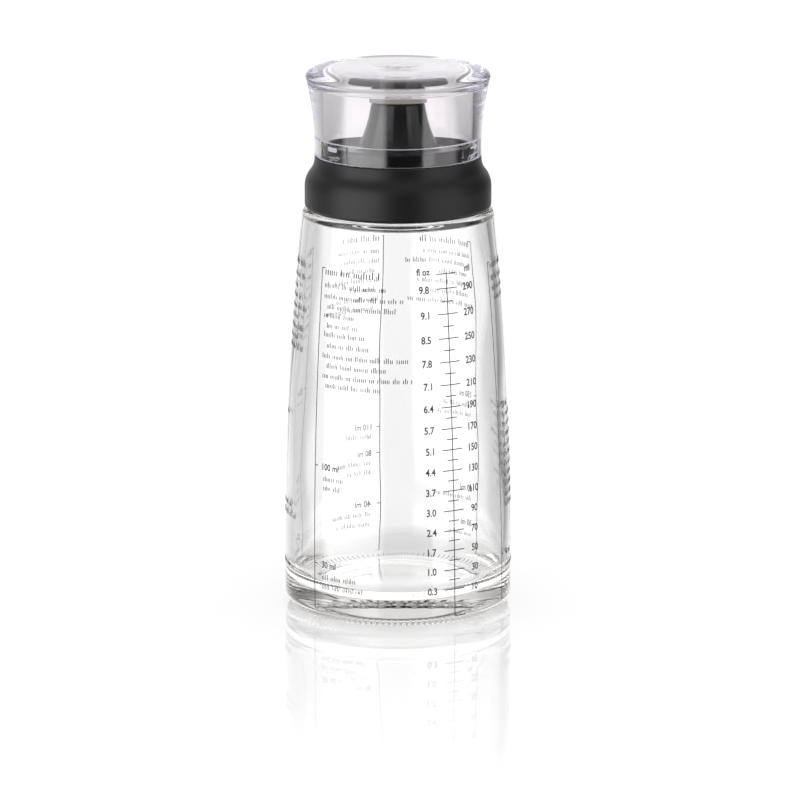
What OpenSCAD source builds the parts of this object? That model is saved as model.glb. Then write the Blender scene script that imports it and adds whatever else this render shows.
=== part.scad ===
// Dressing shaker bottle: a tapered glass body with a screw lid.
// The lid is a pourer with a basin and a spout, a collar that turns round the pourer
// and clamps it to the neck, and a thick clear cap with a soft seal for the spout.
// Every piece is a turned shape, drawn as its half section with X as radius and Y as height.

/* [Glass body] */
// Height of the body, from the table to the shoulder
body_h = 123.5; // [90:0.5:170]
// Radius of the body at its widest
body_r = 34.95; // [29:0.05:45]
// Height at which the body is widest
widest_z = 10; // [6:0.5:20]
// How much smaller the radius is at the shoulder than at the widest place
taper = 5.8; // [3:0.1:9]
// Thickness of the side wall
wall_t = 2.5; // [1.8:0.1:3.2]
// Thickness of the glass at the shoulder
shoulder_t = 2.6; // [1.8:0.1:4]
// Radius of the shoulder's outer corner
shoulder_round = 1.6; // [0.8:0.1:2]
// Radius of the heel, where the side turns under
heel_round = 4.5; // [2:0.1:6]

/* [Glass base] */
// Height of the inside floor at its edge
floor_z = 7.1; // [5:0.1:12]
// How much higher the inside floor is at its centre
floor_rise = 1.5; // [0.5:0.1:3]
// Radius of the inside corner between floor and wall
floor_round = 9; // [3:0.5:14]
// Width of the flat ring that stands on the table
bearing_w = 2; // [1:0.1:4]
// Height of the push-up under the base
punt_h = 3.2; // [1:0.1:4.5]

/* [Glass neck] */
// Height of the neck above the shoulder
neck_h = 12.5; // [10:0.5:20]
// Width of the shoulder from its edge in to the neck
ledge_w = 6.15; // [5:0.05:8]
// Thickness of the neck
neck_t = 2.5; // [1.8:0.1:3.5]
// Rounding of the lip
lip_round = 0.9; // [0.3:0.1:1]
// Radius of the hollow corner at the foot of the neck
neck_fillet = 1.4; // [0.5:0.1:1.6]
// Radius of the corner inside, where the shoulder turns up into the neck
throat_round = 2.3; // [1:0.1:2.6]

/* [Neck gasket] */
// Thickness of the gasket between the lip and the pourer
gasket_t = 1; // [0.8:0.1:2.5]
// How far the gasket stays inside the neck's outer radius
gasket_inset = 0.4; // [0.2:0.1:0.8]

/* [Collar] */
// How far the collar stands inside the shoulder's edge
collar_inset = 0.75; // [0:0.05:1]
// How much smaller the collar's radius is at its top
collar_waist = 3.05; // [2:0.05:4]
// Steepest angle of the collar's swept shoulder, from upright
sweep_angle = 39; // [25:1:50]
// Radius of the hollow part of the sweep
sweep_hollow = 6.3; // [4:0.1:9]
// Height of the upright edge above the sweep
collar_edge_h = 0.8; // [0.3:0.1:2]
// Room for the screw thread between the neck and the collar
thread_room = 1.5; // [1:0.1:2]
// Thickness of the skirt that carries the thread
skirt_t = 1.2; // [1:0.1:1.6]
// Thickness of the collar's outer skin
skin_t = 1.3; // [1:0.1:1.8]
// Thickness of the plate over the pourer's flange
plate_t = 1.6; // [1.2:0.1:3]
// Height of the groove between skirt and skin
groove_h = 7.3; // [4:0.1:8]
// Rounding of the collar's lower edge
collar_round = 1.2; // [0.4:0.1:1.4]
// Number of ribs between skirt and skin
rib_count = 12; // [6:1:24]
// Thickness of a rib
rib_t = 1; // [0.8:0.1:1.6]

/* [Pourer] */
// Thickness of the flange that the collar clamps
flange_t = 1.3; // [1:0.1:2.5]
// Wall of the pourer's upright rim and lip
pourer_t = 1.5; // [1.2:0.1:2]
// Height of the rim above the collar
rim_h = 4.2; // [2:0.1:4.5]
// Depth of the basin round the spout
basin_depth = 1.8; // [0.8:0.1:2.4]
// Thickness of the basin's floor
basin_t = 1.4; // [1:0.1:1.8]
// Depth of the lip that centres the pourer in the neck
plug_h = 4; // [2:0.5:7]
// Height of the spout above the basin
spout_h = 16.8; // [10:0.1:24]
// Outer radius of the spout at its tip
tip_r = 8; // [6.5:0.1:9.6]
// Outer radius of the spout at its foot
foot_r = 12.6; // [10:0.1:13]
// Radius of the hollow curve up the spout's side
spout_curve = 53; // [40:1:120]
// Wall of the spout at its tip
tip_t = 1.4; // [1:0.1:2]
// Wall of the spout at its foot
foot_t = 2.2; // [1.2:0.1:3]
// Rounding of the tip's outer edge
tip_round = 1; // [0.3:0.1:1.2]
// Radius of the hollow corner at the spout's foot
foot_fillet = 2; // [0.5:0.1:2.5]

/* [Clear cap] */
// Thickness of the band at the cap's lower edge
band_t = 1.9; // [1.2:0.1:2.4]
// Height of the band
band_h = 5.6; // [4.5:0.1:7]
// Thickness of the cap's wall just above the band
cap_t = 3; // [2.5:0.1:3.8]
// How much larger the cap's radius is at its rim
cap_flare = 2.6; // [1:0.05:4]
// Height of the upright part below the flare
upright_h = 2.7; // [1:0.1:6]
// Width of the rounding between the top and the rim
rim_reach = 6; // [2:0.1:7]
// Height of that rounding
rim_drop = 2.5; // [1:0.1:4]
// Thickness of the cap's top
top_t = 2.4; // [1.5:0.1:8]
// How much higher the top is at its centre
crown_h = 0.3; // [0.1:0.05:1.5]
// Radius of the dimple in the middle of the top
dimple_r = 8.7; // [4:0.1:12]
// Depth of the dimple
dimple_depth = 0.35; // [0.1:0.05:1]
// Radius of the hollow corner between the cap's wall and its ceiling
ceiling_round = 3.6; // [0.5:0.1:5]
// Radius of the boss under the ceiling that backs the seal
boss_r = 4; // [3:0.1:7]
// Height of the boss
boss_h = 2.8; // [1:0.1:5]

/* [Spout seal] */
// Thickness of the seal's head, between the spout's tip and the cap
seal_t = 2.3; // [1:0.1:4]
// How far the head reaches past the spout's tip
seal_overhang = 0.6; // [0:0.1:1.2]
// Depth of the plug that goes into the spout
seal_plug_h = 3; // [1.5:0.1:6]
// How much slimmer the plug is at its end
plug_draft = 0.4; // [0:0.1:1]
// Radius of the pin under the boss that carries the seal
pin_r = 2.4; // [1.5:0.1:3]
// Length of the pin
pin_h = 2.8; // [1:0.1:4]

/* [Fits] */
// Room for the quick thread between the pourer's rim and the cap's band
quick_room = 0.8; // [0.6:0.1:1.2]
// Clearance round a piece that turns or slides in another
gap = 0.3; // [0.2:0.05:0.5]
// Clearance of the seal on its pin
pin_gap = 0.06; // [0.02:0.01:0.1]
// Space between the glass shoulder and the collar
collar_lift = 0.4; // [0.2:0.1:1]

/* [Hidden] */
$fn = 180;
side_fn = 1440; // the side of the body is a short piece of a very large circle
over = 1; // how far a cutting shape runs past what it cuts
cap_step = 0.05; // the cap's wall stands this far outside the collar's top edge
lead_in = 0.5; // how far the collar's skirt ends above its skin
seal_edge = 0.3; // rounding of the seal's head

// Radius of a circle that rises by h over a half chord c
function dome_r(c, h) = (c * c + h * h) / (2 * h);

// Radii, from the body's side inwards and upwards
shoulder_r = body_r - taper;
neck_r = shoulder_r - ledge_w;
bore_r = neck_r - neck_t;
collar_r = shoulder_r - collar_inset;
collar_top_r = collar_r - collar_waist;
collar_bore_r = neck_r + thread_room;
flange_r = collar_bore_r - gap;
cap_r = collar_top_r + cap_step;
band_bore_r = cap_r - band_t;
rim_r = band_bore_r - quick_room;
cavity_r = cap_r - cap_t;
cap_rim_r = cap_r + cap_flare;
plug_r = bore_r - gap;

// Heights, from the shoulder upwards
glass_h = body_h + neck_h;
collar_z = body_h + collar_lift;
flange_z = glass_h + gasket_t;
plate_z = flange_z + flange_t;
collar_top_z = plate_z + plate_t;
rim_z = collar_top_z + rim_h;
basin_z = rim_z - basin_depth;
tip_z = basin_z + spout_h;
seal_z = tip_z + seal_t;
ceiling_z = seal_z + boss_h;
cap_top_z = ceiling_z + top_t;
cap_z = collar_top_z + gap;
ledge_z = cap_z + band_h;
flare_z = cap_z + upright_h;

// The body's side: one arc that is upright at the widest place
side_h = body_h - widest_z;
side_r = dome_r(side_h, taper);
side_cx = body_r - side_r;

// A point at distance d from the origin
function polar(d, a) = d * [cos(a), sin(a)];

// What rounding an outer corner takes away: a wedge at c between two angles, less its circle
module rounding(c, r, from, to) {
    far = 2 * r;
    translate(c) difference() {
        polygon([[0, 0], polar(far, from), polar(far, (from + to) / 2), polar(far, to)]);
        circle(r);
    }
}

// What fills a hollow corner: its wedge reaches into both walls, less the same kind of circle
module fillet(c, r, from, to) {
    past = 1.6 * r; // beyond the corner of the two walls, even of a blunt one
    translate(c) difference() {
        polygon([[0, 0], polar(r, from), polar(past, (from + to) / 2), polar(r, to)]);
        circle(r);
    }
}

// A rectangle in the half section, from its inner to its outer radius and from low to high
module band(r0, r1, z0, z1) {
    translate([r0, z0]) square([r1 - r0, z1 - z0]);
}

// A rounded corner inside a larger arc touches it where both circles' radii lie on one line
function side_touch(r, z, t) = asin((z - widest_z) / (side_r - t - r));
function side_centre(r, z, t) = [side_cx + (side_r - t - r) * cos(side_touch(r, z, t)), z];

module body_arc(t) {
    translate([side_cx, widest_z]) circle(side_r - t, $fn = side_fn);
}

module glass_outside() {
    heel = side_centre(heel_round, heel_round, 0);
    shoulder_cz = body_h - shoulder_round;
    punt_r = heel[0] - bearing_w;
    punt_arc = dome_r(punt_r, punt_h);
    difference() {
        union() {
            intersection() {
                body_arc(0);
                square([body_r, body_h]);
            }
            square([neck_r, glass_h]);
            fillet([neck_r + neck_fillet, body_h + neck_fillet], neck_fillet, 180, 270);
        }
        rounding(heel, heel_round, -90, side_touch(heel_round, heel_round, 0));
        rounding(side_centre(shoulder_round, shoulder_cz, 0), shoulder_round,
                 side_touch(shoulder_round, shoulder_cz, 0), 90);
        rounding([neck_r - lip_round, glass_h - lip_round], lip_round, 0, 90);
        rounding([bore_r + lip_round, glass_h - lip_round], lip_round, 90, 180);
        translate([0, punt_h - punt_arc]) circle(punt_arc, $fn = side_fn);
    }
}

module glass_inside() {
    top_z = body_h - shoulder_t;
    top_round = shoulder_t;
    floor_cz = floor_z + floor_round;
    top_cz = top_z - top_round;
    floor_flat = side_centre(floor_round, floor_cz, wall_t)[0];
    floor_arc = dome_r(floor_flat, floor_rise);
    difference() {
        intersection() {
            body_arc(wall_t);
            band(0, body_r, floor_z, top_z);
        }
        rounding(side_centre(floor_round, floor_cz, wall_t), floor_round,
                 -90, side_touch(floor_round, floor_cz, wall_t));
        rounding(side_centre(top_round, top_cz, wall_t), top_round,
                 side_touch(top_round, top_cz, wall_t), 90);
        translate([0, floor_z + floor_rise - floor_arc]) circle(floor_arc, $fn = side_fn);
    }
    band(0, bore_r, top_z - over, glass_h + over);
    fillet([bore_r + throat_round, top_z + throat_round], throat_round, 180, 270);
}

// Tapered bottle with a thick base, a rounded heel, a push-up and a short wide neck
module glass_bottle() {
    color([0.86, 0.93, 0.92, 0.35]) rotate_extrude() difference() {
        glass_outside();
        glass_inside();
    }
}

// Flat soft ring on the lip
module neck_gasket() {
    gasket_r = neck_r - gasket_inset;
    color([0.85, 0.85, 0.83]) rotate_extrude()
        band(plug_r + gap, gasket_r, glass_h, flange_z);
}

module collar_outside() {
    turn = collar_waist / (1 - cos(sweep_angle)); // both radii of the sweep together
    knee = turn - sweep_hollow;
    sweep_z = collar_top_z - collar_edge_h;
    knee_z = sweep_z - turn * sin(sweep_angle);
    join_z = knee_z + knee * sin(sweep_angle);
    difference() {
        union() {
            band(0, collar_r, collar_z, knee_z);
            band(0, collar_r - knee, knee_z - over, join_z);
            intersection() {
                translate([collar_r - knee, knee_z]) circle(knee);
                band(0, collar_r, knee_z - over, join_z);
            }
            difference() {
                band(0, collar_r, join_z, collar_top_z);
                translate([collar_top_r + sweep_hollow, sweep_z]) circle(sweep_hollow);
                band(collar_top_r, collar_r + over, sweep_z, collar_top_z + over);
            }
        }
        rounding([collar_r - collar_round, collar_z + collar_round], collar_round, -90, 0);
    }
}

// Collar: a swept outer skin, a plate with a hole for the pourer, and a skirt for the thread
module collar() {
    hole_r = rim_r + gap;
    groove_in = collar_bore_r + skirt_t;
    groove_out = collar_r - skin_t;
    groove_top = collar_z + groove_h;
    color([0.13, 0.13, 0.135]) union() {
        rotate_extrude() difference() {
            collar_outside();
            band(-over, hole_r, collar_z - over, collar_top_z + over);
            band(-over, collar_bore_r, collar_z - over, plate_z);
            band(-over, groove_out, collar_z - over, collar_z + lead_in);
            band(groove_in, groove_out, collar_z - over, groove_top);
        }
        for (i = [0 : rib_count - 1])
            rotate(360 / rib_count * i)
                translate([groove_in - skirt_t / 2, -rib_t / 2, collar_z + 2 * lead_in])
                    cube([groove_out - groove_in + skirt_t / 2 + skin_t / 2, rib_t,
                          groove_top - collar_z - lead_in]);
    }
}

// The spout's side is an arc through its tip and its foot, hollow towards the outside
spout_run = norm([foot_r - tip_r, spout_h]);
spout_c = [tip_r + foot_r, tip_z + basin_z] / 2
    + [spout_h, foot_r - tip_r] / spout_run * sqrt(pow(spout_curve, 2) - pow(spout_run / 2, 2));

// Centre at height z of a circle that touches that arc from a distance r off it
function spout_touch(r, z) = [spout_c[0] - sqrt(pow(spout_curve + r, 2) - pow(spout_c[1] - z, 2)), z];
function angle_of(v) = atan2(v[1], v[0]);

module spout_outside() {
    tip_c = spout_touch(tip_round, tip_z - tip_round);
    foot_c = spout_touch(-foot_fillet, basin_z + foot_fillet);
    difference() {
        band(0, foot_r, basin_z - basin_t / 2, tip_z);
        translate(spout_c) circle(spout_curve, $fn = side_fn);
        rounding(tip_c, tip_round, angle_of(spout_c - tip_c), 90);
    }
    fillet(foot_c, foot_fillet, 360 + angle_of(foot_c - spout_c), 270);
}

module spout_inside() {
    hole_r = tip_r - tip_t;
    low_z = basin_z - basin_t;
    low_r = foot_r - foot_t;
    polygon([[0, low_z - over], [low_r, low_z - over], [low_r, low_z],
             [hole_r, tip_z], [hole_r, tip_z + over], [0, tip_z + over]]);
}

// Pourer: a flange on the gasket, a lip in the neck, a shallow basin and a hollow spout
module pourer() {
    rim_in = rim_r - pourer_t;
    edge_round = pourer_t / 2;
    color([0.07, 0.07, 0.08]) rotate_extrude() difference() {
        union() {
            band(plug_r - pourer_t, flange_r, flange_z, plate_z);
            band(plug_r - pourer_t, plug_r, flange_z - plug_h, plate_z);
            band(rim_in, rim_r, flange_z, rim_z);
            band(0, rim_r, basin_z - basin_t, basin_z);
            spout_outside();
        }
        spout_inside();
        rounding([rim_r - edge_round, rim_z - edge_round], edge_round, 0, 90);
        rounding([rim_in + edge_round, rim_z - edge_round], edge_round, 90, 180);
        rounding([plug_r - edge_round, flange_z - plug_h + edge_round], edge_round, -90, 0);
    }
}

// Soft seal: a head that closes the spout's tip, and a plug with a socket for the cap's pin
module spout_seal() {
    head_r = tip_r + seal_overhang;
    plug_top_r = tip_r - tip_t - 2 * gap;
    plug_low_r = plug_top_r - plug_draft;
    socket_r = pin_r + pin_gap;
    color([0.9, 0.9, 0.87, 0.7]) rotate_extrude() difference() {
        union() {
            band(0, head_r, tip_z, seal_z);
            polygon([[0, tip_z - seal_plug_h], [plug_low_r, tip_z - seal_plug_h],
                     [plug_top_r, tip_z], [0, tip_z]]);
        }
        band(-over, socket_r, seal_z - pin_h - gap, seal_z + over);
        rounding([head_r - seal_edge, tip_z + seal_edge], seal_edge, -90, 0);
        rounding([head_r - seal_edge, seal_z - seal_edge], seal_edge, 0, 90);
    }
}

module cap_outside() {
    rim_cx = cap_rim_r - rim_reach;
    rim_cz = cap_top_z - rim_drop;
    flare_arc = dome_r(rim_cz - flare_z, cap_flare); // upright at flare_z
    crown_arc = dome_r(rim_cx, crown_h);
    dimple_arc = dome_r(dimple_r, dimple_depth);
    difference() {
        union() {
            difference() {
                union() {
                    band(0, cap_r, cap_z, flare_z);
                    band(0, cap_rim_r, flare_z, rim_cz);
                }
                translate([cap_r + flare_arc, flare_z]) circle(flare_arc, $fn = side_fn);
            }
            intersection() {
                translate([rim_cx, rim_cz]) scale([1, rim_drop / rim_reach]) circle(rim_reach);
                band(rim_cx, cap_rim_r, rim_cz, cap_top_z);
            }
            intersection() {
                translate([0, cap_top_z + crown_h - crown_arc]) circle(crown_arc, $fn = side_fn);
                band(0, rim_cx, flare_z, cap_top_z + crown_h);
            }
        }
        translate([0, cap_top_z + crown_h - dimple_depth + dimple_arc])
            circle(dimple_arc, $fn = side_fn);
    }
}

// Thick clear cap: a thin band that goes over the pourer's rim, a flared wall, a soft rim and a
// crowned top, with a boss and a pin for the seal under its ceiling
module clear_cap() {
    color([0.93, 0.95, 0.97, 0.3]) rotate_extrude() difference() {
        cap_outside();
        band(-over, band_bore_r, cap_z - over, ledge_z);
        difference() {
            band(-over, cavity_r, ledge_z - over, ceiling_z);
            rounding([cavity_r - ceiling_round, ceiling_z - ceiling_round], ceiling_round, 0, 90);
            band(-over, boss_r, seal_z, ceiling_z + over);
            band(-over, pin_r, seal_z - pin_h, ceiling_z + over);
        }
    }
}

glass_bottle();
neck_gasket();
collar();
pourer();
spout_seal();
clear_cap();
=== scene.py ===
import math

import bpy
import numpy as np
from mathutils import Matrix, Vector


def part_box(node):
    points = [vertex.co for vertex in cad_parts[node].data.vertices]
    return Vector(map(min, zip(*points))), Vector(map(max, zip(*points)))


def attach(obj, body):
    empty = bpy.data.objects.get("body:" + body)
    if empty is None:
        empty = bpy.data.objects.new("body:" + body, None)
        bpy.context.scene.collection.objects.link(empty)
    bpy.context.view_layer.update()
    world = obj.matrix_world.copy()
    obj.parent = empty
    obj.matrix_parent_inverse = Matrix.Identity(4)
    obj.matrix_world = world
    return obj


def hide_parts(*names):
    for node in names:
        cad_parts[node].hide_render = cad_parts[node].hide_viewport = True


# Dressing shaker bottle: glass body, screw collar, pourer, seal and thick clear cap.
# Sizes below are in millimetres and meshes in metres. The camera stands on the -Y side.
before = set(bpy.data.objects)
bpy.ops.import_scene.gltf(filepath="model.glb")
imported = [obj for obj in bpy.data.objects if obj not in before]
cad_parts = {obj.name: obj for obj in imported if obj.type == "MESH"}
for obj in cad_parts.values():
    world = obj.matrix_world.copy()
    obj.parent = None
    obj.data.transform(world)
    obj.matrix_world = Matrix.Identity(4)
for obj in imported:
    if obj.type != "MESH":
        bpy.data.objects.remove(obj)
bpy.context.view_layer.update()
mm = 0.001
scene = bpy.context.scene


def boxOf(node):
    low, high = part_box(node)
    return np.array(low) / mm, np.array(high) / mm


def radiusOf(node):
    low, high = boxOf(node)
    return min(high[0], high[1], -low[0], -low[1])


# Shapes: an outline in radius and height, turned about Z

def unit(v):
    return v / np.linalg.norm(v)


def bend(centre, radius, start, end, count):
    # corners along a circle: centre + radius * (cos a, sin a), a even from start to end degrees
    x, z = centre
    turn = np.radians(np.linspace(start, end, count))
    return [(x + radius * math.cos(a), z + radius * math.sin(a), 0, 2) for a in turn]


def roundedCorner(before, here, after, radius, arcTurn):
    # an arc of that radius tangent to both sides: its centre lies on the corner's bisector,
    # radius / sin(half the corner's angle) away
    u, v = unit(before - here), unit(after - here)
    half = math.acos(np.clip(u @ v, -1, 1)) / 2
    reach = radius / math.tan(half)
    centre = here + unit(u + v) * radius / math.sin(half)
    first, last = here + u * reach - centre, here + v * reach - centre
    start = math.atan2(first[1], first[0])
    sweep = (math.atan2(last[1], last[0]) - start + math.pi) % (2 * math.pi) - math.pi
    count = max(3, math.ceil(abs(sweep) / math.radians(arcTurn)) + 1)
    a = start + np.linspace(0, sweep, count)
    return centre + radius * np.column_stack([np.cos(a), np.sin(a)])


def outline(corners, loop=False, arcTurn=15):
    # corners are (radius, height, rounding, step): each rounding becomes an arc, each straight is
    # divided about every step, and a rounded corner gets a point close by on its straight sides,
    # which keeps their shading flat
    place = np.array([c[:2] for c in corners], float)
    count, close = len(corners), 0.1
    arcs = []
    for i, (_, _, rounding, _) in enumerate(corners):
        before, here, after = place[i - 1], place[i], place[(i + 1) % count]
        arcs.append(roundedCorner(before, here, after, rounding, arcTurn)
                    if rounding else here[None])
    line = []
    for i in range(count):
        this, following = arcs[i], arcs[(i + 1) % count]
        line.append(this)
        if i + 1 == count and not loop:
            break
        a, b = this[-1], following[0]
        length = np.linalg.norm(b - a)
        along = np.linspace(0, 1, max(2, math.ceil(length / corners[i][3]) + 1))[1:-1]
        if length > 4 * close:
            near = close / length
            keep = along[(along > 2 * near) & (along < 1 - 2 * near)]
            first, last = [near] * (len(this) > 1), [1 - near] * (len(following) > 1)
            along = np.concatenate([first, keep, last])
        line.append(a + along[:, None] * (b - a))
    return np.vstack(line)


def putMesh(name, material, points, faces):
    # points in millimetres, and faces as the numbers of their corners
    mesh = bpy.data.meshes.new(name)
    mesh.from_pydata(np.asarray(points) * mm, [], faces)
    mesh.validate()
    mesh.update()
    mesh.shade_smooth()
    mesh.materials.append(material)
    made = bpy.data.objects.new(name, mesh)
    scene.collection.objects.link(made)
    return made


def turned(name, material, line, around, loop=False, shape=None):
    # the surface (R cos a, R sin a, Z): R and Z come from the outline, and shape(R, Z, a) may
    # change them. An open outline starts and ends on the axis, where each pole is one vertex.
    # The sign of the enclosed volume tells which way the faces turn outwards
    a = 2 * math.pi * np.arange(around) / around
    radius = np.repeat(line[:, :1], around, 1)
    height = np.repeat(line[:, 1:], around, 1)
    if shape:
        radius, height = shape(radius, height, a[None, :])
    rings = np.stack([radius * np.cos(a), radius * np.sin(a), height], 2)
    rings = rings if loop else rings[1:-1]
    count = len(rings)
    points = rings.reshape(-1, 3)
    band = np.arange(count if loop else count - 1)[:, None]
    low, high = band * around, (band + 1) % count * around
    j, k = np.arange(around), (np.arange(around) + 1) % around
    quads = np.stack([low + j, low + k, high + k, high + j], 2).reshape(-1, 4)
    corner = points[quads]
    facing = np.cross(corner[:, 1] - corner[:, 0], corner[:, 3] - corner[:, 0])
    inside = (corner[:, 0] * facing).sum() < 0
    faces = (quads[:, ::-1] if inside else quads).tolist()
    if not loop:
        base, top, last = len(points), len(points) + 1, (count - 1) * around
        points = np.vstack([points, [0, 0, line[0, 1]], [0, 0, line[-1, 1]]])
        fans = np.vstack([np.stack([np.full(around, base), k, j], 1),
                          np.stack([np.full(around, top), j + last, k + last], 1)])
        faces += (fans[:, ::-1] if inside else fans).tolist()
    return putMesh(name, material, points, faces)


onWall = 0.05  # a point this near to a wall's radius is on that wall


def smooth(x):
    # 0 below 0, 1 above 1, and 3x2 - 2x3 between
    x = np.clip(x, 0, 1)
    return x * x * (3 - 2 * x)


def screwRidge(a, height, thread):
    # how high a screw ridge stands, 0 to 1: a rounded bump, flat over its middle third, across a
    # line that climbs lead a turn from zLow, for each start, and fades at both of its ends
    total = 0
    wholeTurn, ramp = 2 * math.pi, math.radians(thread["ramp"])
    for k in range(thread["starts"]):
        along = (a - math.radians(thread["from"]) - wholeTurn * k / thread["starts"]) % wholeTurn
        middle = thread["zLow"] + thread["lead"] * along / wholeTurn
        across = smooth(1.5 - 1.5 * np.abs(height - middle) / (thread["width"] / 2))
        ends = smooth(along / ramp) * smooth((math.radians(thread["span"]) - along) / ramp)
        total = np.maximum(total, across * ends)
    return total


# Materials

def srgb(text):
    # a hex colour as the linear RGBA that shaders take
    parts = [int(text[i:i + 2], 16) / 255 for i in (1, 3, 5)]
    linear = [c / 12.92 if c <= 0.04045 else ((c + 0.055) / 1.055) ** 2.4 for c in parts]
    return (*linear, 1.0)


def addNode(tree, kind, sockets=None, **settings):
    # one shader node with its settings. A socket's value may be another node's output, which is
    # linked, or that node itself, which stands for its first output
    made = tree.nodes.new("ShaderNode" + kind)
    for name, value in settings.items():
        setattr(made, name, value)
    for name, value in (sockets or {}).items():
        if isinstance(value, bpy.types.Node):
            value = value.outputs[0]
        if isinstance(value, bpy.types.NodeSocket):
            tree.links.new(value, made.inputs[name])
        else:
            made.inputs[name].default_value = value
    return made


def newMaterial(name):
    material = bpy.data.materials.new(name)
    material.use_nodes = True
    material.node_tree.nodes.clear()
    tree = material.node_tree
    return material, tree, addNode(tree, "TexCoord").outputs["Object"]


def clearMaterial(name, colour, index, depth, flow, smears, rough):
    # depth is the colour and density that light meets inside, flow the waves of the skin as noise
    # scale, detail, strength and height in metres, and smears the noise scale of the pattern that
    # takes its roughness from rough[0] to rough[1]. A noise scale is 1000 / the size in mm
    material, tree, place = newMaterial(name)
    tint, density = depth
    grain, detail, strength, metres = flow
    waves = addNode(tree, "TexNoise", {"Vector": place, "Scale": grain, "Detail": detail})
    bump = addNode(tree, "Bump", {"Strength": strength, "Distance": metres, "Height": waves})
    hazy = addNode(tree, "TexNoise", {"Vector": place, "Scale": smears, "Detail": 3.0})
    polish = addNode(tree, "MapRange", {0: hazy, 1: 0.45, 2: 0.8, 3: rough[0], 4: rough[1]})
    shader = addNode(tree, "BsdfPrincipled", {
        "Base Color": srgb(colour), "Roughness": polish, "IOR": index,
        "Transmission Weight": 1.0, "Normal": bump})
    body = addNode(tree, "VolumeAbsorption", {"Color": srgb(tint), "Density": density})
    addNode(tree, "OutputMaterial", {"Surface": shader, "Volume": body})
    return material


def sodaLimeGlass():
    # moulded bottle glass: clear, with a green-grey tint only where light runs far inside it,
    # faint waves 18 mm long, and less polish in 8 mm patches where hands and tables touch it
    return clearMaterial("sodaLimeGlass", "#ffffff", 1.52, depth=("#dcd8d6", 12.0),
                         flow=(55.0, 1.0, 0.5, 0.00006), smears=130.0, rough=(0.015, 0.035))


def clearStyrene():
    # thick injection-moulded SAN: water-clear, a breath of blue-violet in its depth, faint flow
    # marks 14 mm long from the mould, and 6 mm patches of wear
    return clearMaterial("clearStyrene", "#f0eeef", 1.56, depth=("#dad6ea", 16.0),
                         flow=(70.0, 0.0, 0.4, 0.00004), smears=160.0, rough=(0.015, 0.045))


def unevenSkin(tree, place, grain, colours, fade, rough):
    # one cloud pattern of that noise scale takes the colour from the first to the second, and
    # while the pattern goes from fade[0] to fade[1], the roughness from rough[0] to rough[1]
    cloud = addNode(tree, "TexNoise", {"Vector": place, "Scale": grain, "Detail": 3.0})
    colour = addNode(tree, "Mix", {0: cloud, 6: srgb(colours[0]), 7: srgb(colours[1])},
                     data_type="RGBA")
    level = addNode(tree, "MapRange", {0: cloud, 1: fade[0], 2: fade[1], 3: rough[0], 4: rough[1]})
    return colour.outputs[2], level


def sparkedBlack():
    # polypropylene from a spark-eroded mould: matt black, a little uneven over 17 mm, with a fine
    # even grain that is really about 0.1 mm and drawn at 0.35 mm so that it shows
    material, tree, place = newMaterial("sparkErodedPolypropylene")
    grain = addNode(tree, "TexNoise", {"Vector": place, "Scale": 2800.0, "Detail": 2.0})
    colour, rough = unevenSkin(tree, place, 60.0, ("#0f0e0f", "#161516"), (0.3, 0.7), (0.36, 0.44))
    bump = addNode(tree, "Bump", {"Strength": 0.35, "Distance": 0.00003, "Height": grain})
    shader = addNode(tree, "BsdfPrincipled", {
        "Base Color": colour, "Roughness": rough, "Normal": bump, "Specular IOR Level": 0.35})
    addNode(tree, "OutputMaterial", {"Surface": shader})
    return material


def glossBlack():
    # ABS from a polished mould: deep black with clear reflections, broken by the faint rings that
    # turning left in the mould, drawn 1.4 mm apart, and a handled bloom in 11 mm patches
    material, tree, place = newMaterial("polishedBlackAbs")
    rings = addNode(tree, "TexWave", {"Vector": place, "Scale": 230.0, "Distortion": 0.6,
                                      "Detail": 1.0}, bands_direction="Z")
    colour, rough = unevenSkin(tree, place, 90.0, ("#0c0c0e", "#141416"), (0.35, 0.75), (0.13, 0.2))
    bump = addNode(tree, "Bump", {"Strength": 0.25, "Distance": 0.00001,
                                  "Height": rings.outputs["Fac"]})
    shader = addNode(tree, "BsdfPrincipled", {
        "Base Color": colour, "Roughness": rough, "IOR": 1.54, "Normal": bump})
    addNode(tree, "OutputMaterial", {"Surface": shader})
    return material


def milkySilicone():
    # food silicone: a soft milky white that light enters a little way, with a matt skin that dust
    # mottles over 4 mm
    material, tree, place = newMaterial("milkySilicone")
    colour, rough = unevenSkin(tree, place, 240.0, ("#efede4", "#e2dfd4"), (0.3, 0.7), (0.38, 0.5))
    shader = addNode(tree, "BsdfPrincipled", {
        "Base Color": colour, "Roughness": rough, "IOR": 1.41,
        "Subsurface Weight": 0.5, "Subsurface Radius": (1.0, 0.9, 0.8), "Subsurface Scale": 0.0015})
    addNode(tree, "OutputMaterial", {"Surface": shader})
    return material


def ceramicInk():
    # fired ceramic screen ink: charcoal, satin, uneven over 1 mm where the screen laid it thin
    material, tree, place = newMaterial("firedCeramicInk")
    colour, rough = unevenSkin(tree, place, 900.0, ("#33302f", "#4a4644"), (0.3, 0.7), (0.4, 0.6))
    shader = addNode(tree, "BsdfPrincipled", {
        "Base Color": colour, "Roughness": rough, "IOR": 1.5})
    addNode(tree, "OutputMaterial", {"Surface": shader})
    return material


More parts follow.
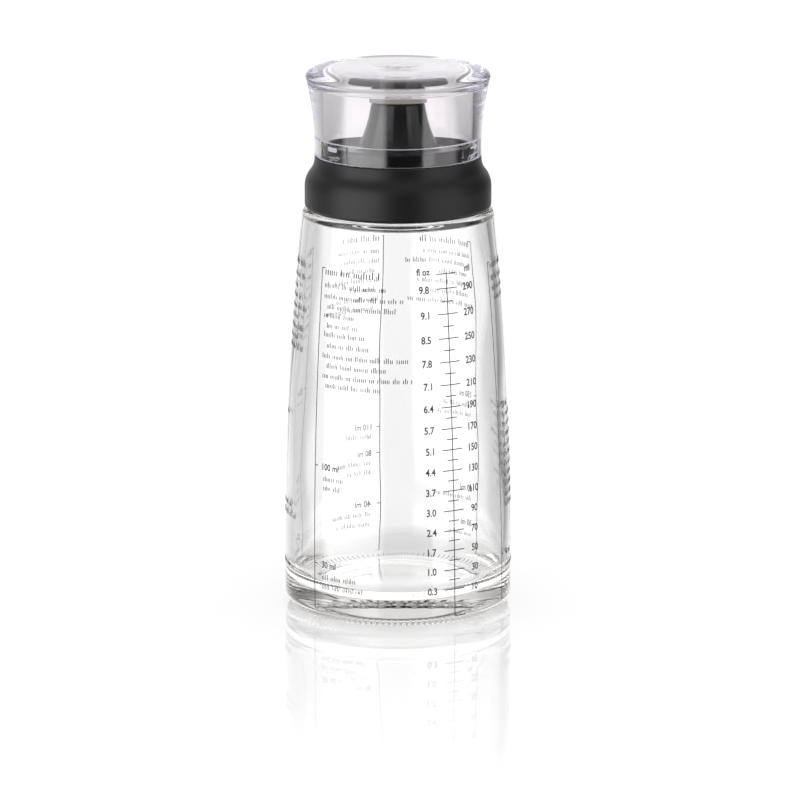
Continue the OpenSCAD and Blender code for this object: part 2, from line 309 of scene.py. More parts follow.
def frostedMark():
    # marks blasted matt into the mould: they scatter light and read as frosted white. Their grain
    # is really about 0.05 mm and drawn at 0.4 mm so that it shows
    material, tree, place = newMaterial("frostedStyrene")
    grain = addNode(tree, "TexNoise", {"Vector": place, "Scale": 2500.0, "Detail": 2.0})
    colour = addNode(tree, "Mix", {0: grain, 6: srgb("#e9e9ee"), 7: srgb("#c9c9d2")},
                     data_type="RGBA")
    shader = addNode(tree, "BsdfPrincipled", {
        "Base Color": colour.outputs[2], "Roughness": 0.7, "IOR": 1.56})
    addNode(tree, "OutputMaterial", {"Surface": shader})
    return material


# Glass bottle

glass = {
    "radius": radiusOf("glass_bottle") - 0.06,  # less the room for print and mould seams
    "height": boxOf("glass_bottle")[1][2], "around": 456,
    "neckHeight": 12.5, "neckWall": 2.5, "neckFillet": 1.4, "neckFade": 0.6, "throatRound": 2.3,
    "lipRound": 0.9, "ledge": 6.15, "shoulderWall": 1.8, "shoulderInner": 1.2, "shoulderRound": 1.6,
    "widestZ": 10.0, "taper": 5.8, "wall": 2.5, "floorZ": 7.1, "floorRise": 2.4, "floorRound": 7.5,
    "heelRound": 4.5, "bearingWidth": 2.0, "bearingRound": 0.5, "puntHeight": 3.2,
    # curved stretches: how far their points keep from the axis, the ring, the table, the shoulder
    # outside and inside, the floor and its bend, and how many points they have
    "offAxis": 2.2, "offRing": 1.6, "offTable": 7.0, "offShoulder": 4.0, "offInner": 5.0,
    "offFloor": 12.0, "offBend": 1.5, "domePoints": 11, "outerPoints": 20, "innerPoints": 21,
    # small bars round the ring it stands on: how deep, how high they reach, how soon they are full,
    # how far they go inwards of the ring, over what width they fade there, and how much of their
    # depth they draw the side in above knurlFrom
    "knurls": 114, "knurlDeep": 0.9, "knurlReach": 2.4, "knurlRise": 1.6, "knurlIn": 0.6,
    "knurlFade": 0.8, "knurlDraw": 0.6, "knurlFrom": 0.2,
    # long waves of the inner wall: their size, where they start above the table and end below the
    # shoulder, and each wave's count round the bottle, mm of height a radian, share and start
    "wave": 0.08, "waveLow": 14.0, "waveHigh": 6.0, "waveFade": 10.0,
    "waves": ((2, 19.0, 1.0, 0.0), (3, -13.0, 0.8, 1.1), (5, 9.0, 0.6, 2.3), (9, -6.5, 0.35, 0.0)),
    # mould seams: height, places and width in degrees, and how they fade below and above
    "seam": 0.05, "seamAt": (0.0, 180.0), "seamWidth": 0.9, "seamFade": (3.0, 2.0),
}
glass["bodyHeight"] = glass["height"] - glass["neckHeight"]
glass["side"] = glass["bodyHeight"] - glass["widestZ"]
glass["bulge"] = (glass["side"] ** 2 + glass["taper"] ** 2) / (2 * glass["taper"])
glass["neckRadius"] = glass["radius"] - glass["taper"] - glass["ledge"]
glass["bore"] = glass["neckRadius"] - glass["neckWall"]

neckThread = {"starts": 2, "lead": 8.0, "span": 300.0, "ramp": 22.0, "from": 35.0, "width": 1.9,
              "crest": 1.0, "zLow": 127.2}


def sideRadius(z, inset=0.0):
    # the body's side is an arc of radius bulge, upright at the widest place
    arc = glass["bulge"] - inset
    return glass["radius"] - glass["bulge"] + np.sqrt(arc ** 2 - (z - glass["widestZ"]) ** 2)


def glassOutline():
    g = glass
    puntR = sideRadius(g["heelRound"]) - g["heelRound"] - g["bearingWidth"]
    puntArc = (puntR ** 2 + g["puntHeight"] ** 2) / (2 * g["puntHeight"])
    dome = lambda r: g["puntHeight"] - puntArc + math.sqrt(puntArc ** 2 - r * r)
    floorFlat = sideRadius(g["floorZ"], g["wall"]) - g["floorRound"]
    floorArc = (floorFlat ** 2 + g["floorRise"] ** 2) / (2 * g["floorRise"])
    floor = lambda r: g["floorZ"] + g["floorRise"] - floorArc + math.sqrt(floorArc ** 2 - r * r)
    topZ = g["bodyHeight"] - g["shoulderWall"]
    corners = [(0, g["puntHeight"], 0, 2)]
    corners += [(r, dome(r), 0, 2)
                for r in np.linspace(g["offAxis"], puntR - g["offRing"], g["domePoints"])]
    corners += [(puntR, 0, g["bearingRound"], 0.5), (sideRadius(0), 0, g["heelRound"], 2)]
    outer = np.linspace(g["offTable"], g["bodyHeight"] - g["offShoulder"], g["outerPoints"])
    corners += [(sideRadius(z), z, 0, 6) for z in outer]
    corners += [(sideRadius(g["bodyHeight"]), g["bodyHeight"], g["shoulderRound"], 1.5),
                (g["neckRadius"], g["bodyHeight"], g["neckFillet"], 0.42),
                (g["neckRadius"], g["height"], g["lipRound"], 1),
                (g["bore"], g["height"], g["lipRound"], 2.5),
                (g["bore"], topZ, g["throatRound"], 1.5),
                (sideRadius(topZ, g["wall"]), topZ, g["shoulderInner"], 2)]
    inner = np.linspace(topZ - g["offInner"], g["floorZ"] + g["offFloor"], g["innerPoints"])
    corners += [(sideRadius(z, g["wall"]), z, 0, 6) for z in inner]
    corners += [(sideRadius(g["floorZ"], g["wall"]), g["floorZ"], g["floorRound"], 2)]
    corners += [(r, floor(r), 0, 2)
                for r in np.linspace(floorFlat - g["offBend"], g["offAxis"], g["domePoints"])]
    corners += [(0, g["floorZ"] + g["floorRise"], 0, 2)]
    return outline(corners, arcTurn=12)


def glassShape(radius, height, a):
    g = glass
    outerSide = radius > sideRadius(np.clip(height, 0, g["bodyHeight"]), g["wall"] / 2)
    neck = radius > (g["bore"] + g["neckRadius"]) / 2
    neck = neck * smooth((height - g["bodyHeight"] - g["neckFade"]) / g["neckFade"])
    ridge = neckThread["crest"] * screwRidge(a, height, neckThread) * neck
    # the inner wall strays by a sum of cosines of count * a + height / climb + start
    belowTop = g["bodyHeight"] - height
    wave = sum(share * np.cos(count * a + height / climb + start)
               for count, climb, share, start in g["waves"])
    wave = g["wave"] * wave * ~outerSide * smooth((height - g["waveLow"]) / g["waveFade"])
    wave = wave * smooth((belowTop - g["waveHigh"]) / g["waveFade"])
    # each seam is a bell curve across its place, on the outer side only
    lowFade, topFade = g["seamFade"]
    away = [(np.degrees(a) - at + 180) % 360 - 180 for at in g["seamAt"]]
    seam = g["seam"] * sum(np.exp(-(x / g["seamWidth"]) ** 2) for x in away) * outerSide
    seam = seam * smooth((height - lowFade) / lowFade) * smooth(belowTop / topFade)
    # the knurls are cosine bars that lift the ring it stands on and draw its side in
    edge = sideRadius(0) - g["heelRound"] - g["bearingWidth"] - g["knurlIn"]
    full = (radius > edge) * (height < g["knurlReach"]) * (1 - height / g["knurlReach"])
    lift = g["knurlDeep"] * (0.5 - 0.5 * np.cos(g["knurls"] * a))
    lift = lift * np.clip(g["knurlRise"] * full, 0, 1) * smooth((radius - edge) / g["knurlFade"])
    draw = g["knurlDraw"] * lift * (height > g["knurlFrom"])
    return radius + ridge + wave + seam - draw, height + lift


def buildGlass(material):
    made = turned("glassBottle", material, glassOutline(), glass["around"], shape=glassShape)
    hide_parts("glass_bottle")
    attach(made, "bottle")


# Print on the glass

# In mm: width of a line, the ink's lift off the glass and its thickness, the longest stretch
# between points, and text heights; figures are made narrow and bold by the last two
ink = {"line": 0.3, "lift": 0.015, "thickness": 0.025, "step": 1.0,
       "digit": 2.3, "word": 2.1, "narrow": 0.84, "bold": 0.02}

# The measuring scale: azimuths in degrees from the camera's side, heights and lengths in mm
scale = {"at": 28.2, "lean": 1.45, "top": 108.7, "foot": 3.2, "footRun": 3.6, "cap": 6.6,
         "most": 300, "every": 10, "ounce": 29.57, "major": 6.9, "minor": 3.7,
         "left": -7.4, "right": 7.7, "headZ": 109.7}

# The other columns are plain rulings with round amounts. They share the ends of their lines, the
# heading's height, the length of a tick, where an amount starts and how far a row hangs down
ruling = {"top": 109.3, "foot": 4.0, "headZ": 107.3, "tick": 1.2, "amount": 3.1, "hang": 0.55}
# Each has a line, a heading, rows of strokes as (height, from, to) in degrees from its line, and
# amounts as (height, text)
columns = [
    {"at": -48.0, "lean": 1.5, "heading": (3.0, 39.4), "rows": (
        (104.1, 3.1, 42.7), (100.8, 3.1, 51.7), (97.7, 5.8, 47.6), (95.0, 3.5, 23.7),
        (91.9, 6.0, 26.9), (89.2, 4.1, 30.2), (85.9, 6.5, 33.5), (82.7, 3.5, 54.4),
        (79.7, 6.7, 42.0), (76.6, 4.0, 56.5), (73.7, 6.4, 39.5), (44.9, 6.1, 19.4),
        (42.0, 6.2, 17.2), (14.1, 5.5, 26.8), (11.1, 5.5, 29.5)),
     "amounts": ((48.8, "100 ml"), (18.3, "30 ml"))},
    {"at": 62.2, "lean": 3.6, "heading": (3.0, 36.0), "rows": (
        (104.1, 3.2, 33.0), (101.0, 3.2, 45.0), (97.9, 6.0, 38.0), (61.0, 6.0, 46.0),
        (57.9, 6.0, 42.0), (54.8, 6.0, 36.0), (51.7, 6.0, 47.0), (48.6, 6.0, 40.0),
        (45.5, 6.0, 44.0), (42.4, 6.0, 31.0), (39.3, 6.0, 43.0), (36.2, 6.0, 37.0),
        (33.1, 6.0, 26.0), (14.1, 5.5, 26.0)),
     "amounts": ((64.6, "120 ml"), (18.3, "40 ml"))},
    {"at": 127.0, "lean": 2.0, "heading": (3.0, 42.0), "rows": (
        (104.1, 3.2, 38.0), (101.0, 3.2, 50.0), (97.9, 6.0, 30.0), (94.8, 3.2, 41.0),
        (91.7, 6.0, 34.0), (88.6, 3.2, 47.0), (56.0, 6.0, 28.0), (52.9, 6.0, 33.0),
        (26.0, 6.0, 31.0), (14.1, 5.5, 24.0)),
     "amounts": ((60.0, "150 ml"), (29.5, "60 ml"), (18.3, "30 ml"))},
    {"at": 189.0, "lean": 2.0, "heading": (3.0, 30.0), "rows": (
        (104.1, 3.2, 34.0), (101.0, 3.2, 27.0), (97.9, 6.0, 30.0), (94.8, 3.2, 36.0),
        (91.7, 6.0, 22.0), (88.6, 3.2, 33.0), (85.5, 6.0, 38.0), (43.8, 6.0, 24.0),
        (35.0, 6.0, 27.0), (31.9, 6.0, 22.0), (18.4, 6.0, 31.0), (15.3, 6.0, 26.0)),
     "amounts": ((47.2, "110 ml"), (38.5, "80 ml"), (22.0, "40 ml"))},
    {"at": 250.0, "lean": 1.5, "heading": (3.0, 48.0), "rows": (
        (104.1, 3.2, 47.0), (100.8, 3.2, 36.0), (97.7, 6.0, 44.0), (94.6, 3.2, 50.0),
        (91.5, 6.0, 39.0), (88.4, 3.2, 49.0), (85.3, 3.2, 41.0), (82.2, 6.0, 48.0),
        (61.0, 6.0, 30.0), (33.0, 6.0, 40.0), (29.9, 6.0, 45.0), (14.1, 5.5, 38.0)),
     "amounts": ((64.6, "150 ml"), (36.6, "70 ml"), (18.3, "30 ml"))},
]
# Rows of strokes in mm; pitches, heights and the count between two spaces are drawn with a seed
strokes = {"seed": 7, "width": 0.25, "pitch": (0.5, 0.72), "heights": (1.1, 1.1, 1.1, 1.65),
           "group": (3, 9), "space": 0.75, "bold": 1.35}


def grid(columnsOf, rowsOf):
    # quads between points that are laid out row by row
    i = np.arange(rowsOf - 1)[:, None] * columnsOf + np.arange(columnsOf - 1)
    return np.stack([i, i + 1, i + 1 + columnsOf, i + columnsOf], 2).reshape(-1, 4)


def bar(x0, x1, y0, y1):
    # an upright rectangle in mm, divided finely enough to bend round the glass
    nx, ny = (max(2, math.ceil((b - a) / ink["step"]) + 1) for a, b in ((x0, x1), (y0, y1)))
    x, y = np.meshgrid(np.linspace(x0, x1, nx), np.linspace(y0, y1, ny))
    return np.column_stack([x.ravel(), y.ravel()]), grid(nx, ny)


def digits(text, height):
    # flat figures from Blender's own font, centred on the origin, with doubled points merged
    sizes = []
    for words in ("0", text):
        curve = bpy.data.curves.new("figures", "FONT")
        curve.body = words
        curve.resolution_u = 4
        curve.offset = ink["bold"]
        holder = bpy.data.objects.new("figures", curve)
        mesh = bpy.data.meshes.new_from_object(holder)
        mesh.calc_loop_triangles()
        place = np.empty(len(mesh.vertices) * 3)
        mesh.vertices.foreach_get("co", place)
        faces = np.empty(len(mesh.loop_triangles) * 3, np.int32)
        mesh.loop_triangles.foreach_get("vertices", faces)
        place, faces = place.reshape(-1, 3)[:, :2], faces.reshape(-1, 3)
        sizes.append(np.ptp(place[:, 1]))
        bpy.data.objects.remove(holder)
        bpy.data.curves.remove(curve)
        bpy.data.meshes.remove(mesh)
    place, back = np.unique(np.round(place, 6), axis=0, return_inverse=True)
    faces = back.reshape(-1)[faces]
    k = height / sizes[0]
    middle = np.array([(place[:, 0].min() + place[:, 0].max()) / 2, sizes[0] / 2])
    return (place - middle) * (k * ink["narrow"], k), faces


def rowOfStrokes(length, draw, bold=1.0):
    # strokes side by side from 0 to length, with a space after every few
    low, high = strokes["pitch"]
    x = np.cumsum(draw.uniform(low, high, int(length / low) + 2) * bold)
    ends = np.cumsum(draw.integers(*strokes["group"], len(x)))
    x += strokes["space"] * bold * np.searchsorted(ends, np.arange(len(x)), "right")
    x = x[x < length] - x[0]
    tall = draw.choice(strokes["heights"], len(x)) * bold
    half = strokes["width"] * bold / 2
    corner = np.array([(-1, 0), (1, 0), (1, 1), (-1, 1)])
    points = np.stack([x[:, None] + corner[:, 0] * half, tall[:, None] * corner[:, 1]], 2)
    return points.reshape(-1, 2), np.arange(4 * len(x)).reshape(-1, 4)


def onGlass(shape, azimuth, z):
    # moves a flat shape to an azimuth and height: x becomes an angle, x / radius of the glass there
    points, faces = shape
    height = z + points[:, 1]
    return np.column_stack([azimuth + np.degrees(points[:, 0] / sideRadius(height)), height]), faces


def leaning(shape, at, lean, top, z):
    # a line that drifts by lean degrees in 100 mm on its way down from top
    points, faces = onGlass(shape, at, z)
    points[:, 0] += lean * (top - points[:, 1]) / 100
    return points, faces


def inkShell(name, material, shapes, radiusAt, coat):
    # flat shapes become a thin closed solid: an outer sheet, an inner one that coat["lift"] keeps
    # off the surface, and walls between their edges
    points = np.vstack([p for p, _ in shapes])
    shift = np.cumsum([0] + [len(p) for p, _ in shapes])
    triangles = []
    for start, (_, faces) in zip(shift, shapes):
        parts = [faces] if faces.shape[1] == 3 else [faces[:, [0, 1, 2]], faces[:, [0, 2, 3]]]
        triangles += [part + start for part in parts]
    faces = np.vstack(triangles)
    corner = points[faces]
    backwards = np.cross(corner[:, 1] - corner[:, 0], corner[:, 2] - corner[:, 0]) < 0
    faces[backwards] = faces[backwards][:, ::-1]
    a, z = np.radians(points[:, 0] - 90), points[:, 1]
    sheets = [np.column_stack([(radiusAt(z) + out) * np.cos(a), (radiusAt(z) + out) * np.sin(a), z])
              for out in (coat["lift"] + coat["thickness"], coat["lift"])]
    edges = np.vstack([faces[:, [0, 1]], faces[:, [1, 2]], faces[:, [2, 0]]])
    _, index, times = np.unique(np.sort(edges, 1), axis=0, return_index=True, return_counts=True)
    rim = edges[index[times == 1]]
    count = len(points)
    walls = np.column_stack([rim[:, 1], rim[:, 0], rim[:, 0] + count, rim[:, 1] + count])
    faces = faces.tolist() + (faces[:, ::-1] + count).tolist() + walls.tolist()
    made = putMesh(name, material, np.vstack(sheets), faces)
    made.data.shade_flat()
    return made


def fillHeights(amounts):
    # how high each volume in ml, or 1000 cubic mm, stands: the sum of pi r2 dz along the inner
    # wall, from the floor up
    line = glassOutline()
    inner = line[np.argmax(line[:, 1]):][::-1]
    r, z = inner[:, 0], inner[:, 1]
    part = math.pi / 3 * (r[1:] ** 2 + r[1:] * r[:-1] + r[:-1] ** 2) * np.diff(z) / 1000
    volume = np.concatenate([[0], np.cumsum(part)])
    low = np.argmin(volume)
    return np.interp(amounts, volume[low:], z[low:])


def buildScale(material):
    c, half = scale, ink["line"] / 2

    def put(shape, z, right=0.0):
        return leaning((shape[0] + (right, 0), shape[1]), c["at"], c["lean"], c["top"], z)

    shapes = [put(bar(-half, half, c["foot"] - c["top"], 0), c["top"]),
              put(bar(half, c["footRun"] + half, -half, half), c["foot"]),
              put(bar(-c["cap"] / 2, c["cap"] / 2, -half, half), c["top"]),
              put(digits("fl oz", ink["word"]), c["headZ"], c["left"]),
              put(digits("ml", ink["word"]), c["headZ"], c["right"])]
    amounts = np.arange(c["every"], c["most"], c["every"])
    for amount, z in zip(amounts, fillHeights(amounts)):
        odd = amount // c["every"] % 2
        reach = (c["major"] if odd else c["minor"]) / 2
        shapes.append(put(bar(-reach, reach, -half, half), z))
        if odd:
            shapes.append(put(digits(f"{amount / c['ounce']:.1f}", ink["digit"]), z, c["left"]))
            shapes.append(put(digits(str(amount), ink["digit"]), z, c["right"]))
    made = inkShell("measuringScale", material, shapes, sideRadius, ink)
    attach(made, "bottle")


def buildColumns(material):
    half, top, foot, headZ = ink["line"] / 2, ruling["top"], ruling["foot"], ruling["headZ"]
    tick = bar(half, ruling["tick"], -half, half)
    draw = np.random.default_rng(strokes["seed"])
    shapes = []

    def put(shape, z, right=0.0, up=0.0):
        points, faces = shape
        shapes.append(leaning((points + (right, up), faces), c["at"], c["lean"], top, z))

    def width(degrees, z):
        return math.radians(degrees) * sideRadius(z)

    for c in columns:
        start, end = c["heading"]
        put(bar(-half, half, foot - top, 0), top)
        put(tick, top)
        put(tick, foot)
        heading = rowOfStrokes(width(end - start, headZ), draw, strokes["bold"])
        put(heading, headZ, width(start, headZ))
        for z, start, end in c["rows"]:
            put(rowOfStrokes(width(end - start, z), draw), z, width(start, z), -ruling["hang"])
        for z, text in c["amounts"]:
            put(tick, z)
            amount = digits(text, ink["word"])
            put(amount, z, ruling["amount"] - amount[0][:, 0].min())
    made = inkShell("columnPrint", material, shapes, sideRadius, ink)
    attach(made, "bottle")


# Collar

collar = {
    "radius": radiusOf("collar"), "low": boxOf("collar")[0][2], "top": boxOf("collar")[1][2],
    "waist": 3.05, "sweepAngle": 39.0, "sweepHollow": 6.3, "edge": 0.8, "lowRound": 1.2,
    "bore": 24.5, "plateT": 1.6, "hole": 23.0, "skirt": 1.2, "skin": 1.3, "leadIn": 0.5,
    "grooveHeight": 7.3, "grooveLimit": 9.0,  # above the limit only the sweep is as far out
    "ribs": 12, "ribDegrees": 2.2, "ribFade": 0.8, "ribFill": 0.93, "around": 480,
}
collarThread = dict(neckThread, crest=1.15, zLow=neckThread["zLow"] - 1.95)


def collarOutline():
    c = collar
    turn = c["waist"] / (1 - math.cos(math.radians(c["sweepAngle"])))  # both radii together
    knee = turn - c["sweepHollow"]
    sweepZ = c["top"] - c["edge"]
    kneeZ = sweepZ - turn * math.sin(math.radians(c["sweepAngle"]))
    topR = c["radius"] - c["waist"]
    grooveTop = c["low"] + c["grooveHeight"]
    grooveIn, grooveOut = c["bore"] + c["skirt"], c["radius"] - c["skin"]
    corners = [(c["radius"], c["low"], c["lowRound"], 1)]
    corners += bend((c["radius"] - knee, kneeZ), knee, 0, c["sweepAngle"], 9)
    corners += bend((topR + c["sweepHollow"], sweepZ), c["sweepHollow"],
                    180 + c["sweepAngle"], 180, 9)[1:]
    corners += [(topR, c["top"], 0.2, 1), (c["hole"], c["top"], 0.2, 1),
                (c["hole"], c["top"] - c["plateT"], 0.15, 1),
                (c["bore"], c["top"] - c["plateT"], 0.3, 0.36),
                (c["bore"], c["low"] + c["leadIn"], 0.3, 1),
                (grooveIn, c["low"] + c["leadIn"], 0.3, 1.5), (grooveIn, grooveTop, 0.4, 1),
                (grooveOut, grooveTop, 0.4, 1.5), (grooveOut, c["low"], 0.2, 1)]
    return outline(corners, loop=True)


def collarShape(radius, height, a):
    # thread ridges stand inwards in the bore, and ribs bring the groove's ceiling down
    c = collar
    ridge = screwRidge(a, height, collarThread)
    bore = np.abs(radius - c["bore"]) < onWall
    low = c["low"] + 2 * c["leadIn"]
    groove = (radius > c["bore"] + c["skirt"] - onWall) & (height > low)
    groove = groove & (radius < c["radius"] - c["skin"] + onWall)
    groove = groove & (height < c["low"] + c["grooveLimit"])
    pitch, fade = 360 / c["ribs"], c["ribFade"]
    fromRib = np.abs((np.degrees(a) + pitch / 2) % pitch - pitch / 2)
    rib = smooth((c["ribDegrees"] / 2 + fade / 2 - fromRib) / fade)
    return (radius - collarThread["crest"] * ridge * bore,
            np.where(groove, height - rib * (height - low) * c["ribFill"], height))


def buildCollar(material):
    made = turned("screwCollar", material, collarOutline(), collar["around"], loop=True,
                  shape=collarShape)
    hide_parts("collar")
    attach(made, "screw_collar")


# Pourer

pourer = {
    "flangeR": radiusOf("pourer"), "low": boxOf("pourer")[0][2], "tip": boxOf("pourer")[1][2],
    "lipDeep": 4.0, "flangeT": 1.3, "plugR": 20.2, "wall": 1.5, "rimR": 22.7, "rimTop": 144.1,
    "basin": 1.8, "basinT": 1.4, "tipR": 8.0, "tipT": 1.4, "tipRound": 1.0, "tipInner": 0.35,
    "footR": 12.6, "footT": 2.2, "footFillet": 2.0, "curve": 53.0, "rimRound": 0.7,
    "offTip": 1.6, "offFoot": 2.4,  # how far the points of the curve keep from its ends
    "ribsFrom": 140.4, "around": 384,
}
# The cap's quick thread: three short ribs on the rim and three lugs in the cap's band
rimThread = {"starts": 3, "lead": 16.0, "span": 30.0, "ramp": 5.0, "from": -158.0, "width": 0.9,
             "crest": 0.45, "zLow": 141.6}


def pourerOutline():
    p = pourer
    flangeZ = p["low"] + p["lipDeep"]
    plateZ = flangeZ + p["flangeT"]
    basinZ = p["rimTop"] - p["basin"]
    run = np.array([p["footR"] - p["tipR"], p["tip"] - basinZ])
    length = np.linalg.norm(run)
    # the spout's side is a hollow arc from foot to tip, so its centre lies outside
    middle = np.array([p["tipR"] + p["footR"], p["tip"] + basinZ]) / 2
    away = math.sqrt(p["curve"] ** 2 - length ** 2 / 4)
    centre = middle + np.array([run[1], run[0]]) / length * away
    side = lambda z: centre[0] - math.sqrt(p["curve"] ** 2 - (z - centre[1]) ** 2)
    rimIn, lipIn = p["rimR"] - p["wall"], p["plugR"] - p["wall"]
    boreLow = p["footR"] - p["footT"]
    corners = [(p["tipR"] - p["tipT"], p["tip"], p["tipInner"], 1),
               (p["tipR"], p["tip"], p["tipRound"], 1)]
    spout = np.linspace(p["tip"] - p["offTip"], basinZ + p["offFoot"], 12)
    corners += [(side(z), z, 0, 2) for z in spout]
    corners += [(p["footR"], basinZ, p["footFillet"], 1.5), (rimIn, basinZ, p["rimRound"], 1),
                (rimIn, p["rimTop"], p["rimRound"], 1),
                (p["rimR"], p["rimTop"], p["rimRound"], 0.25), (p["rimR"], plateZ, 0.2, 1),
                (p["flangeR"], plateZ, 0.2, 1), (p["flangeR"], flangeZ, 0.2, 1),
                (p["plugR"], flangeZ, 0.2, 1.5),
                (p["plugR"], p["low"], 0.6, 1), (lipIn, p["low"], 0.3, 1.5),
                (lipIn, plateZ, 0.2, 1.5), (rimIn, plateZ, 0.2, 1),
                (rimIn, basinZ - p["basinT"], 0.3, 1.5), (boreLow, basinZ - p["basinT"], 0.4, 2)]
    return outline(corners, loop=True)


def pourerShape(radius, height, a):
    # the quick thread's ribs stand outwards on the rim
    rim = (np.abs(radius - pourer["rimR"]) < onWall) & (height > pourer["ribsFrom"])
    ridge = rimThread["crest"] * screwRidge(a, height, rimThread)
    return radius + ridge * rim, height


def buildPourer(material):
    made = turned("pourerInsert", material, pourerOutline(), pourer["around"], loop=True,
                  shape=pourerShape)
    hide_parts("pourer")
    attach(made, "pourer_insert")


# Seals

sealSizes = {"head": radiusOf("spout_seal"), "low": boxOf("spout_seal")[0][2],
             "top": boxOf("spout_seal")[1][2], "headT": 2.3, "plugTop": 6.0, "plugLow": 5.6,
             "socket": 2.46, "socketDeep": 3.1, "skin": 0.03, "around": 192}
gasketSizes = {"inner": 20.5, "outer": radiusOf("neck_gasket"), "low": boxOf("neck_gasket")[0][2],
               "top": boxOf("neck_gasket")[1][2], "skin": 0.03, "around": 192}


def buildSeal(material):
    s = sealSizes
    top = s["top"] - s["skin"]  # a hair under the cap's boss, so that no surface is shared
    headLow, socketLow = s["top"] - s["headT"], s["top"] - s["socketDeep"]
    corners = [(0, s["low"], 0, 1), (s["plugLow"], s["low"], 0.5, 1),
               (s["plugTop"], headLow, 0.2, 1), (s["head"], headLow, 0.3, 1),
               (s["head"], top, 0.35, 1.5), (s["socket"], top, 0.15, 1),
               (s["socket"], socketLow, 0.2, 1), (0, socketLow, 0, 1)]
    made = turned("spoutSeal", material, outline(corners), s["around"])
    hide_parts("spout_seal")
    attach(made, "seal")


def buildGasket(material):
    s = gasketSizes
    low, top = s["low"] + s["skin"], s["top"] - s["skin"]
    corners = [(s["inner"], low, 0.3, 1), (s["outer"], low, 0.3, 1), (s["outer"], top, 0.3, 1),
               (s["inner"], top, 0.3, 1)]
    made = turned("lipGasket", material, outline(corners, loop=True), s["around"], loop=True)
    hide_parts("neck_gasket")
    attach(made, "pourer_insert")


# Clear cap

cap = {
    "low": boxOf("clear_cap")[0][2], "top": 166.6, "radius": 25.4, "around": 400,
    "bandBore": 23.5, "bandHeight": 5.6, "cavity": 22.4, "upright": 2.7, "flare": 2.6,
    "rimReach": 6.0, "rimDrop": 2.5, "rimTuck": 6.0,  # degrees past the quarter of the ellipse
    "crown": 0.3, "dimpleR": 8.7, "dimpleDeep": 0.35, "topT": 2.4, "ceilingRound": 2.8,
    "bossR": 4.0, "bossH": 2.8, "pinR": 2.4, "pinLength": 2.8,
    # pads as azimuths from the camera's side, and their width and its fade in degrees
    "pads": (-53.0, 67.0, 187.0), "padWidth": 28.0, "padFade": 0.8, "padT": 0.22,
}
# a lug sits under the middle of each rib when the cap is closed: it starts lugShift degrees on,
# and lugDrop below the rib's own line
lugShift, lugDrop = 7.0, 1.05
capLug = dict(rimThread, span=16.0, crest=0.4)
capLug["from"] += lugShift
capLug["zLow"] += lugShift / 360 * rimThread["lead"] - lugDrop


def capOutline():
    c = cap
    low, bore = c["low"], c["bandBore"]
    ceiling, ledge, flareZ = c["top"] - c["topT"], low + c["bandHeight"], low + c["upright"]
    rimX, rimZ = c["radius"] + c["flare"] - c["rimReach"], c["top"] - c["rimDrop"]
    crownArc = (rimX ** 2 + c["crown"] ** 2) / (2 * c["crown"])
    dimpleArc = (c["dimpleR"] ** 2 + c["dimpleDeep"] ** 2) / (2 * c["dimpleDeep"])
    apex = c["top"] + c["crown"]
    crown = lambda r: apex - crownArc + math.sqrt(crownArc ** 2 - r * r)
    dimple = lambda r: apex - c["dimpleDeep"] + dimpleArc - math.sqrt(dimpleArc ** 2 - r * r)
    corners = [(r, min(crown(r), dimple(r)), 0, 2) for r in np.linspace(0, rimX, 45)]
    # the rim is a quarter of an ellipse, and the flare an arc that starts upright and meets it
    turn = np.radians(np.linspace(90, -c["rimTuck"], 33))[1:]
    corners += [(rimX + c["rimReach"] * math.cos(t), rimZ + c["rimDrop"] * math.sin(t), 0, 1)
                for t in turn]
    out, rise = corners[-1][0] - c["radius"], corners[-1][1] - flareZ
    flare = (rise ** 2 + out ** 2) / (2 * out)
    side = lambda z: c["radius"] + flare - math.sqrt(flare ** 2 - (z - flareZ) ** 2)
    corners += [(side(z), z, 0, 2) for z in np.linspace(flareZ + rise, flareZ, 18)[1:]]
    boss = ceiling - c["bossH"]
    pin = boss - c["pinLength"]
    corners += [(c["radius"], low, 0.25, 0.6), (bore, low, 0.25, 0.3), (bore, ledge, 0.2, 0.5),
                (c["cavity"], ledge, 0.2, 1.5), (c["cavity"], ceiling, c["ceilingRound"], 2),
                (c["bossR"], ceiling, 0.4, 1), (c["bossR"], boss, 0.2, 1),
                (c["pinR"], boss, 0.2, 1), (c["pinR"], pin, 0.3, 1), (0, pin, 0, 1)]
    return outline(corners, arcTurn=10)


def capShape(radius, height, a):
    # three pads stand inwards in the band, each with a lug of the quick thread
    c = cap
    band = np.abs(radius - c["bandBore"]) < onWall
    band = band & (height < c["low"] + c["bandHeight"] - 2 * onWall)
    azimuth, fade = np.degrees(a) + 90, c["padFade"]
    away = [np.abs((azimuth - at + 180) % 360 - 180) for at in c["pads"]]
    pad = sum(smooth((c["padWidth"] / 2 + fade / 2 - x) / fade) for x in away)
    lug = capLug["crest"] * screwRidge(a, height, capLug)
    return radius - (c["padT"] * pad + lug) * band, height


def buildCap(material):
    made = turned("clearCap", material, capOutline(), cap["around"], shape=capShape)
    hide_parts("clear_cap")
    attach(made, "cap")


# Frosted marks on the cap's band: pills (length, half height) and arrows (length, half height of
# the shaft and of the head). Azimuths are from the camera's side, and bulge follows the flare
marks = {"z": 144.3, "pills": (-51.0, 187.0), "pill": (4.4, 0.7),
         "arrows": (64.6,), "arrow": (4.8, 0.35, 1.1),
         "lift": 0.01, "thickness": 0.04, "bulge": 0.0035}


def stripOf(x, half):
    # a flat shape between -half and +half at each x
    return np.column_stack([np.tile(x, 2), np.concatenate([-half, half])]), grid(len(x), 2)


